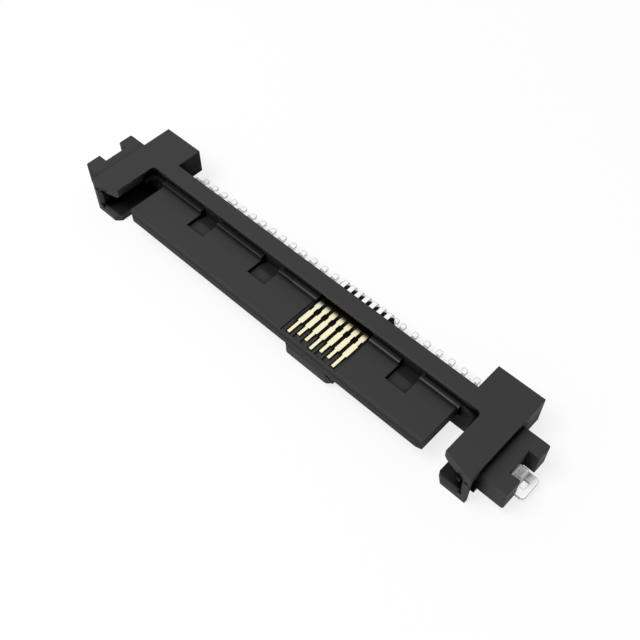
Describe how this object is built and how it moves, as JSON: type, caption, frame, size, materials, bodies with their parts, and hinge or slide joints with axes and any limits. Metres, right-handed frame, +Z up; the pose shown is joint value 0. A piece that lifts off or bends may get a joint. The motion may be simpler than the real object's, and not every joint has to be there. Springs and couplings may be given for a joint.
{
  "type": "board-mount blade plug for serial storage drives",
  "caption": "Right-angle surface-mount blade plug with guide channels at both ends, contacts on both faces of the blade, a rear row of solder tails and side hold-down clips.",
  "frame": {"origin": "on the plane of the housing's underside, under the middle of the whole plug (middle of its bounding box in x and y); the board's top lies 0.65 mm above it", "axes": "+X along the blade towards the first-port signal end, -Y the way the plug points to its mate, +Z up from the board"},
  "size_m": [0.049, 0.009, 0.0037],
  "materials": {
    "housing_plastic": "fine matte moulded black plastic",
    "contact_gold": "gold-plated copper alloy on the blade, tin-plated on the solder tails",
    "clip_tin": "matte tin plate over copper alloy"
  },
  "bodies": {
    "root": {"housing": "housing_plastic", "power_contact_01": "contact_gold", "power_contact_02": "contact_gold", "power_contact_03": "contact_gold", "power_contact_04": "contact_gold", "power_contact_05": "contact_gold", "power_contact_06": "contact_gold", "power_contact_07": "contact_gold", "power_contact_08": "contact_gold", "power_contact_09": "contact_gold", "power_contact_10": "contact_gold", "power_contact_11": "contact_gold", "power_contact_12": "contact_gold", "power_contact_13": "contact_gold", "power_contact_14": "contact_gold", "power_contact_15": "contact_gold", "signal_contact_01": "contact_gold", "signal_contact_02": "contact_gold", "signal_contact_03": "contact_gold", "signal_contact_04": "contact_gold", "signal_contact_05": "contact_gold", "signal_contact_06": "contact_gold", "signal_contact_07": "contact_gold", "second_port_contact_08": "contact_gold", "second_port_contact_09": "contact_gold", "second_port_contact_10": "contact_gold", "second_port_contact_11": "contact_gold", "second_port_contact_12": "contact_gold", "second_port_contact_13": "contact_gold", "second_port_contact_14": "contact_gold", "left_holddown_clip": "clip_tin", "right_holddown_clip": "clip_tin"}
  },
  "joints": []
}
